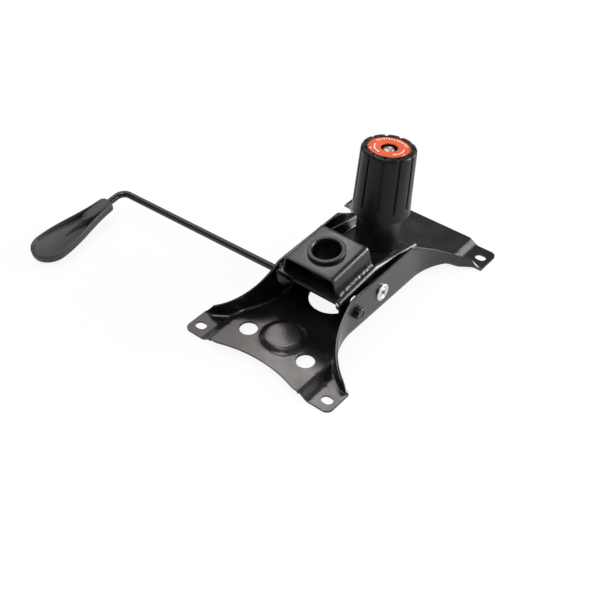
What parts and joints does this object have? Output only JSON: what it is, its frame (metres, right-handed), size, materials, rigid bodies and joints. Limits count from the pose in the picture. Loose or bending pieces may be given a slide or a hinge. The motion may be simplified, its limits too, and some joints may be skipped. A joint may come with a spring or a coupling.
{
  "type": "office chair tilt mechanism",
  "caption": "Pressed steel seat plate with a sprung tilt bracket, gas lift socket, tension knob and side lever for an office chair.",
  "frame": {"origin": "centre of the four seat bolt slots, on the face that lies against the seat", "axes": "+Z away from the seat (down in use, up as pictured), +Y towards the tension knob at the chair's front, the lever reaches out along -X"},
  "size_m": [0.3843, 0.3142, 0.1445],
  "materials": {
    "black_steel": "satin black paint",
    "zinc": "bright zinc plate",
    "black_plastic": "fine moulded grain",
    "nylon": "natural",
    "weld": "painted over bead",
    "cup_black": "matt black paint",
    "spring_steel": "oiled",
    "label_orange": "printed film",
    "rod_black": "gloss black paint",
    "handle_grey": "fine moulded grain"
  },
  "bodies": {
    "seat": {"seat_plate": "black_steel", "pivot_axle": "zinc", "lever_bush_left": "black_plastic", "lever_bush_right": "black_plastic"},
    "bracket": {"tilt_bracket": "black_steel", "pivot_tube": "black_steel", "pivot_washers": "nylon", "socket_box": "black_steel", "socket_tube": "black_steel", "box_welds": "weld", "spring_cup": "cup_black", "lower_spring_seat": "zinc", "tension_spring": "spring_steel"},
    "anchor": {"tension_bolt": "zinc", "rocker_washer": "zinc"},
    "thrust": {"thrust_washer": "zinc"},
    "knob": {"tension_knob": "black_plastic", "knob_nut": "zinc", "knob_label": "label_orange"},
    "lock": {"lock_collar": "zinc"},
    "lever": {"lever_rod": "rod_black", "lever_handle": "handle_grey", "button_tongue": "black_steel", "retaining_clips": "zinc"}
  },
  "joints": [
    {"name": "tilt", "type": "hinge", "parent": "seat", "child": "bracket", "pos_m": [0, -0.0055, 0.029], "axis": [1, 0, 0], "range_deg": [0, 12], "stiffness_Nm_per_rad": 60, "springref_deg": -5.73},
    {"name": "knob_draw", "type": "slide", "parent": "bracket", "child": "anchor", "axis": [0, 0.1132, 0.9936], "range_m": [-0.0115, 0], "stiffness_N_per_m": 1000, "springref_m": 0.004, "deforming": ["tension_spring"]},
    {"name": "knob_feed", "type": "slide", "parent": "anchor", "child": "thrust", "axis": [0, 0.1132, 0.9936], "range_m": [-0.00705, 0.00005], "stiffness_N_per_m": 400, "springref_m": 0.004},
    {"name": "knob_turn", "type": "hinge", "parent": "thrust", "child": "knob", "pos_m": [0, 0.049, 0.036], "axis": [0, 0.1132, 0.9936], "range_deg": [-1440, 0]},
    {"name": "lever_lock", "type": "slide", "parent": "seat", "child": "lock", "axis": [1, 0, 0], "range_m": [0, 0.008]},
    {"name": "lever_lift", "type": "hinge", "parent": "lock", "child": "lever", "pos_m": [0, -0.0435, 0.0287], "axis": [1, 0, 0], "range_deg": [-14, 0]}
  ],
  "couplings": [
    {"joint": "knob_draw", "follows": "tilt", "m_per_rad": -0.0534},
    {"joint": "knob_feed", "follows": "knob_turn", "m_per_rad": 0.00027852}
  ]
}
